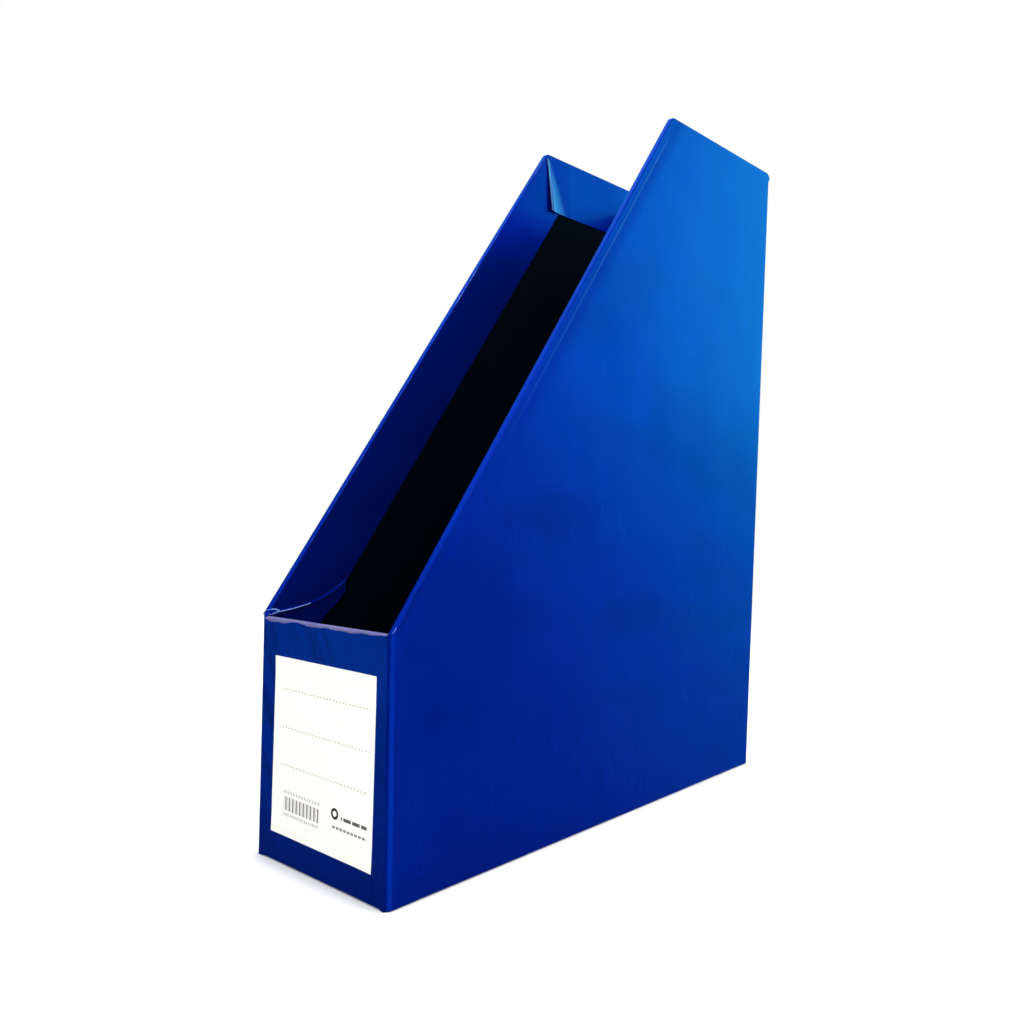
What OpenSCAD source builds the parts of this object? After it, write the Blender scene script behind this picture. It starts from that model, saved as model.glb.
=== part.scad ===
// Free-standing magazine file: five greyboard panels, edge-butted and taped into a tall open
// box, lined in black and covered with one glossy wrap, a front sheet and a base sheet.
// The origin is at the middle of the footprint, +Z is up and the low front panel faces -Y.

/* [File] */
// Overall width across the two side panels
file_w = 76; // [60:1:110]
// Overall depth, from the label on the front to the back
file_d = 260; // [220:1:300]
// Overall height of the side panels at the back
file_h = 316; // [270:1:340]
// Height of the low front panel
front_h = 95; // [60:1:140]
// Length of the level edge at the top of each side panel
top_flat = 96; // [60:1:130]
// Radius of the side panels' top back corners
top_corner_r = 4; // [2:0.5:8]
// Radius of the bend where the level edge meets the slanted edge
knee_r = 3; // [1:0.5:8]
// Radius of the four upright edges
upright_r = 2; // [1:0.1:3]

/* [Board and paper] */
// Thickness of the greyboard panels
board_t = 2; // [1.5:0.1:3]
// Thickness of the glossy cover paper with its glue
cover_t = 0.25; // [0.2:0.05:0.4]
// Thickness of the black lining paper
lining_t = 0.15; // [0.1:0.05:0.3]
// Thickness of the gummed tape over the joints
tape_t = 0.12; // [0.08:0.01:0.16]
// Reach of the tape on each side of a joint
tape_leg = 12.5; // [8:0.5:14]
// Thickness of the paper label
label_t = 0.1; // [0.05:0.05:0.2]

/* [Turn-ins] */
// Width of the cover turned in along the slanted edges
slant_turn = 24.5; // [12:0.5:35]
// Width of the cover turned in along the level top edges and the back panel
top_turn = 27.5; // [12:0.5:40]
// Width of the front sheet turned in behind the front panel
front_turn = 20; // [10:1:40]
// Width of the wrap returned round the upright front edges
front_return = 15; // [14.5:0.5:20]
// Width of the cover turned in under the base
base_turn = 15; // [14.5:0.5:25]
// How far the front sheet stops short of the upright edges
front_reveal = 1.8; // [0.5:0.1:4]
// How far the base sheet stops short of the bottom edges
base_reveal = 1; // [0.5:0.1:4]

/* [Label] */
// Width of the label
label_w = 60; // [20:1:60]
// Height of the label
label_h = 69; // [20:1:75]
// Height of the label's middle above the base
label_z = 46; // [40:1:50]
// Lean of the label, as it was stuck on
label_lean = 1.2; // [0:0.1:1.5]

/* [Hidden] */

greyboard = [0.55, 0.52, 0.47];
gloss_blue = [0.02, 0.12, 0.55];
lining_black = [0.03, 0.03, 0.035];
tape_brown = [0.66, 0.5, 0.33];
label_white = [0.97, 0.96, 0.92];

// Layers across the width, measured out from the middle of the file
wrap_x = file_w / 2;
board_x = wrap_x - cover_t;
board_in_x = board_x - board_t;
lining_x = board_in_x - lining_t;
turn_x = lining_x - cover_t;
overlap_x = turn_x - cover_t;

// Layers at the back, measured along +Y
wrap_back_y = file_d / 2;
board_back_y = wrap_back_y - cover_t;
back_in_y = board_back_y - board_t;
back_lining_y = back_in_y - lining_t;
back_turn_y = back_lining_y - cover_t;

// Layers at the front, where the label and the front sheet lie over the wrap's returns
label_front_y = -file_d / 2;
sheet_front_y = label_front_y + label_t;
wrap_front_y = sheet_front_y + cover_t;
board_front_y = wrap_front_y + cover_t;
front_in_y = wrap_front_y + board_t;
front_lining_y = front_in_y + lining_t;
front_turn_y = front_lining_y + cover_t;

// Layers at the bottom, where the base sheet lies over the turned-in cover
base_sheet_z = cover_t;
board_bottom_z = 2 * cover_t;
base_top_z = base_sheet_z + board_t;
base_lining_z = base_top_z + lining_t;

// The back panel stops where the side panels' corners begin to round
back_h = file_h - top_corner_r;

// The slanted edge rises from the front panel's top to the knee
knee_y = wrap_back_y - top_flat;
slope = atan2(file_h - front_h, file_d - top_flat);

// Cuts run this far past the surfaces that they cut
past = 1;
// The flap's layers share this much, so that they are one sheet
lap = 0.4;

// Points of an arc in the side panel's plane
function arc(centre, r, from, to, steps = 8) =
  [for (i = [0:steps]) centre + r * [cos(from + (to - from) * i / steps), sin(from + (to - from) * i / steps)]];

// Height of the line that lies inset from the slanted edge, at a place along Y
function slant_z(y, inset) = file_h + (sin(slope) * (y - knee_y) - inset) / cos(slope);

// Side panel's outline, with its level and slanted edges drawn in by inset
module side_outline(front, back, bottom, inset) {
  corner = [wrap_back_y - top_corner_r, file_h - top_corner_r];
  knee = [knee_y + knee_r * tan(slope / 2), file_h - knee_r];
  intersection() {
    polygon(concat(
      [[front, bottom], [wrap_back_y, bottom]],
      arc(corner, top_corner_r - inset, 0, 90),
      arc(knee, knee_r - inset, 90, 90 + slope),
      [[front, slant_z(front, inset)]]
    ));
    translate([front, bottom]) square([back - front, file_h - bottom]);
  }
}

// Turns an outline drawn in the side panel's plane into a slab between two places along X
module side_slab(x_from, x_to) {
  translate([x_from, 0, 0]) rotate([90, 0, 90]) linear_extrude(x_to - x_from) children();
}

// Upright block with the file's plan, rounded at its four upright edges and drawn in by inset
module plan_block(inset, z_from, z_to) {
  half = wrap_x - inset;
  front = wrap_front_y + inset;
  back = wrap_back_y - inset;
  r = upright_r - inset;
  translate([0, 0, z_from]) linear_extrude(z_to - z_from) union() {
    translate([r - half, front]) square([2 * (half - r), back - front]);
    translate([-half, front + r]) square([2 * half, back - front - 2 * r]);
    for (x = [r - half, half - r], y = [front + r, back - r]) translate([x, y]) circle(r, $fn = 48);
  }
}

// Block between two corners
module block(low, high) {
  translate(low) cube(high - low);
}

// The file is the same on both sides, so left-hand pieces are the right-hand ones mirrored
module on_side(side) {
  if (side > 0) children();
  else mirror([1, 0, 0]) children();
}

// ---- Greyboard panels ----

// Five-cornered side panel, which covers the ends of the front, back and base panels
module side_board(side) {
  color(greyboard) on_side(side) intersection() {
    side_slab(board_in_x, board_x) side_outline(board_front_y, board_back_y, board_bottom_z, cover_t);
    plan_block(cover_t, board_bottom_z, file_h);
  }
}

module left_side_board() {
  side_board(-1);
}

module right_side_board() {
  side_board(1);
}

// Full-height back panel, between the two sides
module back_board() {
  color(greyboard) block([-lining_x, back_in_y, board_bottom_z], [lining_x, board_back_y, back_h - cover_t]);
}

// Low front panel, pressed thinner where the wrap's returns lie on it
module front_board() {
  color(greyboard) difference() {
    block([-lining_x, wrap_front_y, board_bottom_z], [lining_x, front_in_y, front_h - cover_t]);
    for (side = [-1, 1]) on_side(side)
      block([wrap_x - front_return, wrap_front_y - past, 0], [wrap_x, board_front_y, front_h]);
  }
}

// Base panel, inside the four walls, pressed thinner over the turned-in cover
module base_board() {
  color(greyboard) difference() {
    block([-lining_x, front_lining_y, base_sheet_z], [lining_x, back_lining_y, base_top_z]);
    difference() {
      block([-file_w, -file_d, 0], [file_w, file_d, board_bottom_z]);
      base_window();
    }
  }
}

// Space inside the turned-in cover, on the underside
module base_window() {
  block([base_turn - wrap_x, wrap_front_y + base_turn, -past],
    [wrap_x - base_turn, wrap_back_y - base_turn, board_bottom_z + past]);
}

// ---- Black linings ----

// Lining of a side panel, cut with its board
module side_lining(side) {
  color(lining_black) on_side(side)
    side_slab(lining_x, board_in_x) side_outline(board_front_y, board_back_y, board_bottom_z, cover_t);
}

module left_lining() {
  side_lining(-1);
}

module right_lining() {
  side_lining(1);
}

module back_lining() {
  color(lining_black)
    block([-lining_x, back_lining_y, board_bottom_z], [lining_x, back_in_y, back_h - cover_t]);
}

module front_lining() {
  color(lining_black)
    block([-lining_x, front_in_y, board_bottom_z], [lining_x, front_lining_y, front_h - cover_t]);
}

module base_lining() {
  color(lining_black)
    block([-lining_x, front_lining_y, base_top_z], [lining_x, back_lining_y, base_lining_z]);
}

// ---- Gummed tape stays ----

// Tape folded round an upright edge, under the wrap
module upright_stay_shape(front, z_from, z_to) {
  y_from = front ? wrap_front_y : wrap_back_y - cover_t - tape_leg;
  y_to = front ? board_front_y + tape_leg : wrap_back_y;
  intersection() {
    difference() {
      plan_block(cover_t - tape_t, z_from, z_to);
      plan_block(cover_t, z_from - past, z_to + past);
    }
    block([board_x - tape_leg, y_from, z_from], [wrap_x, y_to, z_to]);
  }
}

// The front pair stops under the front panel's top edge, the back pair under the back panel's
module front_stay(side) {
  on_side(side) upright_stay_shape(true, tape_leg + board_bottom_z + past, front_h - board_t);
}

module back_stay(side) {
  on_side(side) upright_stay_shape(false, tape_leg + board_bottom_z + past, back_h - board_t);
}

module front_left_stay() {
  color(tape_brown) front_stay(-1);
}

module front_right_stay() {
  color(tape_brown) front_stay(1);
}

module back_left_stay() {
  color(tape_brown) back_stay(-1);
}

module back_right_stay() {
  color(tape_brown) back_stay(1);
}

// Tape folded under a side panel's bottom edge and onto the base panel
module side_base_stay(side) {
  y_from = board_front_y + tape_leg;
  y_to = board_back_y - tape_leg;
  on_side(side) union() {
    block([board_x, y_from, board_bottom_z - tape_t], [board_x + tape_t, y_to, board_bottom_z + tape_leg]);
    block([board_x - tape_leg, y_from, board_bottom_z - tape_t], [board_x, y_to, board_bottom_z]);
  }
}

module left_base_stay() {
  color(tape_brown) side_base_stay(-1);
}

module right_base_stay() {
  color(tape_brown) side_base_stay(1);
}

module back_base_stay() {
  x_to = board_x - tape_leg - past;
  color(tape_brown) union() {
    block([-x_to, board_back_y, board_bottom_z - tape_t],
      [x_to, board_back_y + tape_t, board_bottom_z + tape_leg]);
    block([-x_to, board_back_y - tape_leg, board_bottom_z - tape_t], [x_to, board_back_y, board_bottom_z]);
  }
}

// Runs between the wrap's two returns, under the front sheet
module front_base_stay() {
  x_to = wrap_x - front_return;
  color(tape_brown) union() {
    block([-x_to, wrap_front_y - tape_t, board_bottom_z - tape_t],
      [x_to, wrap_front_y, board_bottom_z + tape_leg]);
    block([-x_to, wrap_front_y, board_bottom_z - tape_t], [x_to, wrap_front_y + tape_leg, board_bottom_z]);
  }
}

// ---- Glossy cover ----

// Band of the cover folded in along the slanted edge
module slant_band() {
  difference() {
    side_outline(front_turn_y, back_lining_y, base_lining_z, 0);
    polygon([
      [-file_d, slant_z(-file_d, slant_turn)], [file_d, slant_z(file_d, slant_turn)], [file_d, -file_d],
      [-file_d, -file_d]
    ]);
  }
}

// Flap of the cover folded in along the level edge, over the end of the slanted band
module top_flap() {
  flap_bottom = file_h - top_turn;
  front_slant = 4;
  intersection() {
    side_outline(front_turn_y, back_lining_y, base_lining_z, 0);
    polygon([
      [knee_y, file_h], [knee_y + front_slant, flap_bottom], [wrap_back_y, flap_bottom], [wrap_back_y, file_h]
    ]);
  }
}

// Cover on one side panel's inner face
module side_turn_in(side) {
  on_side(side) union() {
    side_slab(turn_x, lining_x) union() {
      slant_band();
      top_flap();
    }
    side_slab(overlap_x, turn_x) intersection() {
      top_flap();
      translate([lap, -lap]) slant_band();
    }
  }
}

// Cover over one side panel's level and slanted edges
module side_rim(side) {
  on_side(side) intersection() {
    side_slab(turn_x, wrap_x) difference() {
      side_outline(wrap_front_y, wrap_back_y, base_lining_z, 0);
      side_outline(wrap_front_y - past, wrap_back_y + past, 0, cover_t);
    }
    plan_block(0, 0, file_h);
  }
}

// Cover on the back panel's top edge and inner face
module back_turn_in() {
  block([-lining_x, back_turn_y, back_h - cover_t], [lining_x, board_back_y + lap / 2, back_h]);
  block([-turn_x, back_turn_y, back_h - top_turn], [turn_x, back_lining_y, back_h]);
}

// Front sheet's turn-in under the base, mitred at both ends
module front_base_turn_in(z_from, z_to) {
  half = wrap_x - front_reveal;
  translate([0, 0, z_from]) linear_extrude(z_to - z_from) polygon([
    [-half, sheet_front_y], [half, sheet_front_y], [half, wrap_front_y],
    [half - base_turn, wrap_front_y + base_turn], [base_turn - half, wrap_front_y + base_turn],
    [-half, wrap_front_y]
  ]);
}

// One sheet round the left side, the back and the right side, with all its turn-ins
module body_wrap() {
  return_x = wrap_x - front_return;
  color(gloss_blue) difference() {
    union() {
      intersection() {
        difference() {
          plan_block(0, base_sheet_z, file_h);
          plan_block(cover_t, board_bottom_z, file_h + past);
          base_window();
          block([-return_x, -file_d, 0], [return_x, board_front_y + lap, file_h]);
          block([-lining_x, -file_d, front_h - cover_t], [lining_x, front_turn_y, file_h]);
          block([-lining_x, back_turn_y, back_h], [lining_x, file_d, file_h + past]);
        }
        side_slab(-wrap_x, wrap_x) side_outline(wrap_front_y, wrap_back_y, 0, 0);
      }
      for (side = [-1, 1]) {
        side_rim(side);
        side_turn_in(side);
      }
      back_turn_in();
    }
    front_base_turn_in(0, board_bottom_z);
    front_stay(-1);
    front_stay(1);
    back_stay(-1);
    back_stay(1);
    side_base_stay(-1);
    side_base_stay(1);
    back_base_stay();
  }
}

// Sheet on the front panel, turned in over its top edge and under its bottom edge
module front_sheet() {
  half = wrap_x - front_reveal;
  color(gloss_blue) difference() {
    union() {
      block([-half, sheet_front_y, base_sheet_z], [half, wrap_front_y, front_h]);
      block([-turn_x, wrap_front_y, front_h - cover_t], [turn_x, front_turn_y, front_h]);
      block([-turn_x, front_lining_y, front_h - front_turn], [turn_x, front_turn_y, front_h]);
      front_base_turn_in(base_sheet_z, board_bottom_z);
    }
    front_base_stay();
  }
}

// Outer sheet under the base, which hides the turned-in cover and is what the file stands on
module base_sheet() {
  half = wrap_x - base_reveal;
  color(gloss_blue)
    block([-half, wrap_front_y + base_reveal, 0], [half, wrap_back_y - base_reveal, base_sheet_z]);
}

// Paper label on the front sheet
module front_label() {
  color(label_white) translate([0, label_front_y, label_z]) rotate([0, label_lean, 0])
    block([-label_w / 2, 0, -label_h / 2], [label_w / 2, label_t, label_h / 2]);
}

left_side_board();
right_side_board();
back_board();
front_board();
base_board();
left_lining();
right_lining();
back_lining();
front_lining();
base_lining();
front_left_stay();
front_right_stay();
back_left_stay();
back_right_stay();
left_base_stay();
right_base_stay();
back_base_stay();
front_base_stay();
body_wrap();
front_sheet();
base_sheet();
front_label();
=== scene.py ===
from math import atan2, cos, pi, radians, sin, tan

import bmesh
import bpy
from mathutils import Matrix, Vector


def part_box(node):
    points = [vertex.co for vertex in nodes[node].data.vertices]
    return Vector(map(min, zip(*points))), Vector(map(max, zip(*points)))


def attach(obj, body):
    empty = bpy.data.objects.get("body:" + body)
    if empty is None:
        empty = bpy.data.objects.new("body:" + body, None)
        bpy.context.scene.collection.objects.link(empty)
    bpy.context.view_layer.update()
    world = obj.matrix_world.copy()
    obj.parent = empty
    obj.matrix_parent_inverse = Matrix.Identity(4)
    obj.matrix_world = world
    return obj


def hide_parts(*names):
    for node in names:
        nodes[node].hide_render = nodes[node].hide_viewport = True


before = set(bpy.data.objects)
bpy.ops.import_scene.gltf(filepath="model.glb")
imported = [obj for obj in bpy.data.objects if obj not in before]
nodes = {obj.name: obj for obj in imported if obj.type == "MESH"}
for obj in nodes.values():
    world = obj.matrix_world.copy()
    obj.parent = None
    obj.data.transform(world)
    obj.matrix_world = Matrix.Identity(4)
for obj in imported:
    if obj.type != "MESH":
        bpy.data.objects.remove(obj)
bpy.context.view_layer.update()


# ---------------------------------------------------------------------------
# 1. Greyboard panels: five sheets of 2 mm chipboard, cut square and butted.
#    They are grey paper pulp with darker and lighter fibres pressed into it.

def new_group(name, inputs, outputs):
    """A shader node group with named inputs (with their usual values) and outputs."""
    tree = bpy.data.node_groups.new(name, "ShaderNodeTree")
    for label, kind, value in inputs:
        socket = tree.interface.new_socket(label, in_out="INPUT", socket_type=kind)
        if value is not None:
            socket.default_value = value
    for label, kind in outputs:
        tree.interface.new_socket(label, in_out="OUTPUT", socket_type=kind)
    return tree, tree.nodes.new("NodeGroupInput"), tree.nodes.new("NodeGroupOutput")


def put(tree, kind, settings=None, **wired):
    """Adds a node, sets its options, and wires or sets its inputs by name."""
    n = tree.nodes.new(kind)
    for key, value in (settings or {}).items():
        setattr(n, key, value)
    for key, value in wired.items():
        key = key.replace("_", " ")
        socket = n.inputs[int(key[1:])] if key[0] == "i" and key[1:].isdigit() else n.inputs[key]
        if isinstance(value, bpy.types.NodeSocket):
            tree.links.new(value, socket)
        else:
            socket.default_value = value
    return n


def sum_up(tree, how, a, b=0.0, c=0.0):
    """One Math node."""
    return put(tree, "ShaderNodeMath", {"operation": how}, i0=a, i1=b, i2=c).outputs[0]


def blend_colours(tree, share, first, second):
    """One colour Mix node."""
    n = put(tree, "ShaderNodeMix", {"data_type": "RGBA"})
    for slot, value in ((0, share), (6, first), (7, second)):
        if isinstance(value, bpy.types.NodeSocket):
            tree.links.new(value, n.inputs[slot])
        else:
            n.inputs[slot].default_value = value
    return n.outputs[2]


def make_fibre_group():
    """Flecks of fibre in pulp: a colour between two, and a height."""
    tree, given, out = new_group(
        "paper_fibres",
        [("Dark", "NodeSocketColor", None), ("Light", "NodeSocketColor", None),
         ("Fleck Size", "NodeSocketFloat", 600.0), ("Seed", "NodeSocketFloat", 0.0)],
        [("Color", "NodeSocketColor"), ("Height", "NodeSocketFloat")])
    place = put(tree, "ShaderNodeTexCoord").outputs["Object"]
    cloud = put(tree, "ShaderNodeTexNoise", {"noise_dimensions": "4D"}, Vector=place,
                W=given.outputs["Seed"], Scale=given.outputs["Fleck Size"],
                Detail=6.0, Roughness=0.7, Distortion=0.6)
    patch = put(tree, "ShaderNodeTexNoise", {"noise_dimensions": "4D"}, Vector=place,
                W=given.outputs["Seed"], Scale=35.0, Detail=3.0)
    share = sum_up(tree, "MULTIPLY_ADD", cloud.outputs["Fac"], 1.5,
                   sum_up(tree, "MULTIPLY_ADD", patch.outputs["Fac"], 0.7, -0.6))
    share = put(tree, "ShaderNodeClamp", i0=share).outputs[0]
    tree.links.new(blend_colours(tree, share, given.outputs["Dark"], given.outputs["Light"]),
                   out.inputs["Color"])
    tree.links.new(cloud.outputs["Fac"], out.inputs["Height"])
    return tree


def new_material(name):
    """A material with its Principled shader."""
    material = bpy.data.materials.new(name)
    material.use_nodes = True
    tree = material.node_tree
    return material, tree, tree.nodes["Principled BSDF"]


def pulp_material(name, dark, light, fleck, seed, roughness, bump):
    """Uncoated paper or board."""
    material, tree, shader = new_material(name)
    fibres = put(tree, "ShaderNodeGroup", {"node_tree": fibre_group}, Dark=dark, Light=light,
                 Fleck_Size=fleck, Seed=seed)
    tree.links.new(fibres.outputs["Color"], shader.inputs["Base Color"])
    relief = put(tree, "ShaderNodeBump", Height=fibres.outputs["Height"], Strength=bump,
                 Distance=0.0002)
    tree.links.new(relief.outputs[0], shader.inputs["Normal"])
    shader.inputs["Roughness"].default_value = roughness
    shader.inputs["Specular IOR Level"].default_value = 0.2
    return material


def finish_node(node, material):
    """Gives a CAD node its material."""
    piece = nodes[node]
    piece.data.materials.clear()
    piece.data.materials.append(material)
    for face in piece.data.polygons:
        face.material_index = 0


fibre_group = make_fibre_group()
greyboard = pulp_material("greyboard", (0.40, 0.375, 0.33, 1), (0.60, 0.57, 0.52, 1),
                          700.0, 1.0, 0.9, 0.5)
for node in ("left_side_board", "right_side_board", "back_board", "front_board", "base_board"):
    finish_node(node, greyboard)


# ---------------------------------------------------------------------------
# 2. Gummed tape stays: strips of brown kraft tape, wetted and pressed over
#    the upright joints and the base joints to hold the boards square.

kraft = pulp_material("gummed_tape", (0.50, 0.36, 0.22, 1), (0.68, 0.52, 0.35, 1),
                      420.0, 3.0, 0.55, 0.35)
for node in ("front_left_stay", "front_right_stay", "back_left_stay", "back_right_stay",
             "left_base_stay", "right_base_stay", "back_base_stay", "front_base_stay"):
    finish_node(node, kraft)


# ---------------------------------------------------------------------------
# 3. Lining: thin black paper, dyed through and pasted over the inside of each
#    panel before the cover is turned in over its edges.

lining_paper = pulp_material("black_lining", (0.0002, 0.0016, 0.0034, 1),
                             (0.0008, 0.0040, 0.0085, 1), 900.0, 5.0, 0.75, 0.6)
lining_paper.node_tree.nodes["Principled BSDF"].inputs["Specular IOR Level"].default_value = 0.05
for node in ("left_lining", "right_lining", "back_lining", "front_lining", "base_lining"):
    finish_node(node, lining_paper)


# ---------------------------------------------------------------------------
# 4. Cover: one sheet of blue printed paper under clear gloss film. It goes
#    round one side, the back and the other side, over every edge of the
#    boards, and is glued down inside, under the base and behind the front.

cover_t = 0.00025
wrap_low, wrap_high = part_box("body_wrap")
side_x = wrap_high.x                                   # outside of the side panels
turn_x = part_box("right_lining")[0].x - cover_t         # face of the cover turned in
front_y, back_y = wrap_low.y, wrap_high.y
back_turn_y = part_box("back_lining")[0].y - cover_t
foot_z, top_z = wrap_low.z, wrap_high.z
back_top_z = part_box("back_board")[1].z + cover_t
front_top_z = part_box("front_sheet")[1].z
knee_y, toe_y = 0.034, -0.130                          # ends of the slanted edge
slant = atan2(top_z - front_top_z, knee_y - toe_y)
into_band = Vector((0, sin(slant), -cos(slant)))       # square to the slanted edge, inwards
corner_r, knee_run, upright_r, rim_r = 0.0032, 0.0015, 0.0020, 0.00050
band_w, flap_w, return_w, base_turn = 0.0245, 0.0275, 0.015, 0.015
flap_rows, flap_slope = 10, 0.0034                     # the free end leans back as it goes down
splay_out, rack_up, front_w = 0.0030, 0.0011, 0.072    # how far the real box is out of square
flap_end_y = knee_y - knee_run * cos(slant)            # where the slant's straight run ends


def slant_z(y):
    """Height of the slanted edge at y."""
    return top_z + tan(slant) * (y - knee_y)


def begin_piece(name):
    """Names the primitive just added and opens it with nothing selected."""
    piece = bpy.context.object
    piece.name = piece.data.name = name
    bpy.ops.object.transform_apply(location=True, rotation=True, scale=True)
    bpy.ops.object.mode_set(mode="EDIT")
    bpy.ops.mesh.select_all(action="DESELECT")
    return piece


def pick(piece, kind, rule):
    """Selects only the faces, edges or verts that meet the rule, which is given
    each one's middle and the part itself."""
    bpy.ops.mesh.select_mode(type={"faces": "FACE", "edges": "EDGE", "verts": "VERT"}[kind])
    bpy.ops.mesh.select_all(action="DESELECT")
    mesh = bmesh.from_edit_mesh(piece.data)
    for part in getattr(mesh, kind):
        if kind == "verts":
            middle = part.co
        elif kind == "edges":
            middle = (part.verts[0].co + part.verts[1].co) / 2
        else:
            middle = part.calc_center_median()
        if rule(middle, part):
            part.select_set(True)
    mesh.select_flush_mode()
    bmesh.update_edit_mesh(piece.data)


def cut(piece, axis, places):
    """Bisects everything at each place along an axis."""
    for place in places:
        bpy.ops.mesh.select_all(action="SELECT")
        bpy.ops.mesh.bisect(plane_co=[place * (i == axis) for i in range(3)],
                            plane_no=[float(i == axis) for i in range(3)])


def pull(*steps):
    """Extrudes the selected edges by each step in turn."""
    for step in steps:
        bpy.ops.mesh.extrude_edges_move(TRANSFORM_OT_translate={"value": tuple(step)})


def shift(piece, rule, chosen_only=False):
    """Moves each vertex to where the rule says, or leaves it where the rule gives None."""
    mesh = bmesh.from_edit_mesh(piece.data)
    for vert in mesh.verts:
        if vert.select or not chosen_only:
            place = rule(vert.co.copy())
            if place is not None:
                vert.co = place
    bmesh.update_edit_mesh(piece.data)


def apply_all(piece):
    """Leaves edit mode and applies the piece's modifiers in order."""
    bpy.ops.object.mode_set(mode="OBJECT")
    for modifier in list(piece.modifiers):
        bpy.ops.object.modifier_apply(modifier=modifier.name)


def near(a, b, slack=0.00004):
    return abs(a - b) < slack


# The side panel's outline: a sheet cut to the slant, with its corners rounded.
bpy.ops.object.select_all(action="DESELECT")
bpy.ops.mesh.primitive_plane_add(size=1, rotation=(0, pi / 2, 0), location=(
    side_x, (front_y + back_y) / 2, (foot_z + top_z) / 2))
cover = bpy.context.object
cover.scale = (top_z - foot_z, back_y - front_y, 1)
cover = begin_piece("cover_wrap")
bpy.ops.mesh.select_all(action="SELECT")
bpy.ops.mesh.bisect(plane_co=(side_x, knee_y, top_z), plane_no=-into_band, clear_outer=True)
pick(cover, "verts", lambda p, v: near(p.y, back_y) and near(p.z, top_z))
bpy.ops.mesh.bevel(offset=corner_r, segments=6, affect="VERTICES", clamp_overlap=False)
pick(cover, "verts", lambda p, v: near(p.y, knee_y) and near(p.z, top_z))
bpy.ops.mesh.bevel(offset=knee_run, segments=4, affect="VERTICES", clamp_overlap=False)
cut(cover, 1, [-0.120 + 0.012 * i for i in range(21)])
cut(cover, 2, [0.018 + 0.015 * i for i in range(20)] + [back_top_z])

# The edge of the board all round: the top, the slant and both uprights.
pick(cover, "edges", lambda p, e: e.is_boundary and p.z > foot_z + 0.0001)
pull((turn_x - side_x, 0, 0))

# Round the back to its middle, and round the front as far as the return.
pick(cover, "edges", lambda p, e: e.is_boundary and near(p.x, turn_x) and near(p.y, back_y)
     and p.z < back_top_z)
pull(*[(-turn_x / 3, 0, 0)] * 3)
pick(cover, "edges", lambda p, e: e.is_boundary and near(p.x, turn_x) and near(p.y, front_y)
     and p.z < front_top_z + 0.001)
pull((-cover_t, 0, 0))
return_top_z = front_top_z - 0.0003
shift(cover, lambda p: Vector((p.x, p.y, return_top_z)) if p.z > return_top_z else None,
      chosen_only=True)
pull((side_x - return_w - turn_x + cover_t, 0, 0))

# Under the foot, mitred at the corners.
pick(cover, "edges", lambda p, e: e.is_boundary and near(p.z, foot_z))
pull((0, 0, 0))
shift(cover, lambda p: Vector((
    p.x - base_turn if near(p.x, side_x) else p.x,
    p.y - base_turn if near(p.y, back_y) else p.y + base_turn if near(p.y, front_y) else p.y,
    p.z)), chosen_only=True)

# The band glued down inside along the slant, up to the front panel.
pick(cover, "edges", lambda p, e: e.is_boundary and near(p.x, turn_x) and p.y > front_y
     and near(p.z, slant_z(p.y)) and p.y < flap_end_y + 0.00002)
pull(*[into_band * band_w / 6] * 6)
band_front_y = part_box("front_lining")[1].y + cover_t / 2


def meet_front(p):
    """Slides the band's front end down the slant to the front panel's inside."""
    depth = (Vector((0, p.y - knee_y, p.z - top_z))).dot(into_band)
    along = (p.y - knee_y) * cos(slant) + (p.z - top_z) * sin(slant)
    start = (front_y - knee_y) * cos(slant) + (slant_z(front_y) - top_z) * sin(slant)
    if near(p.x, turn_x) and depth > 0.001 and near(along, start, 0.0001):
        reach = (p.y - band_front_y) / cos(slant)
        return Vector((p.x, band_front_y, p.z - reach * sin(slant)))


shift(cover, meet_front)


# The flap along the level top, which lies over the band; its front end is free.
def flap_edge(p, e):
    return (e.is_boundary and near(p.x, turn_x) and p.z > back_top_z - 0.00001
            and flap_end_y - 0.00002 < p.y < back_y
            and not (near(p.z, slant_z(p.y)) and p.y < flap_end_y + 0.00002))


pick(cover, "edges", flap_edge)
pull((0, 0, 0))
shift(cover, lambda p: Vector((p.x - 0.00001, p.y, back_top_z)), chosen_only=True)
pick(cover, "edges", lambda p, e: e.is_boundary and near(p.x, turn_x - 0.00001, 0.000003)
     and near(p.z, back_top_z) and max(v.co.y for v in e.verts) < back_turn_y)
flap_step = (flap_w - (top_z - back_top_z)) / flap_rows
pull(*[(-0.00001, 0, -flap_step)] * flap_rows)


def flap_face(p, f):
    return turn_x - 0.0003 < p.x < turn_x - 0.000004 and p.z > top_z - flap_w and p.y > 0.030


pick(cover, "faces", flap_face)
for y in [0.0355 + 0.0015 * i for i in range(14)]:
    bpy.ops.mesh.bisect(plane_co=(0, y, 0), plane_no=(0, 1, 0))
    pick(cover, "faces", flap_face)

# Over the top of the back panel and down inside it.
pick(cover, "edges", lambda p, e: e.is_boundary and near(p.z, back_top_z) and near(p.y, back_y)
     and p.x < turn_x)
pull((0, back_turn_y - back_y, 0), (0, 0, -0.001), (0, 0, -flap_w / 2), (0, 0, -flap_w / 2))
shift(cover, lambda p: Vector((p.x - 0.0003, p.y, p.z)) if near(p.y, back_turn_y)
      and near(p.x, turn_x) and p.z < back_top_z - 0.0001 and p.x > 0.030 else None)
bpy.ops.mesh.select_all(action="SELECT")
bpy.ops.mesh.remove_doubles(threshold=0.000002)


def round_uprights(piece, rule):
    """Marks the folds that the rule chooses, to be rounded more than the rest."""
    mesh = bmesh.from_edit_mesh(piece.data)
    layer = mesh.edges.layers.float.new("bevel_weight_edge")
    for edge in mesh.edges:
        edge[layer] = float(rule((edge.verts[0].co + edge.verts[1].co) / 2, edge))
    bmesh.update_edit_mesh(piece.data)


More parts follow.
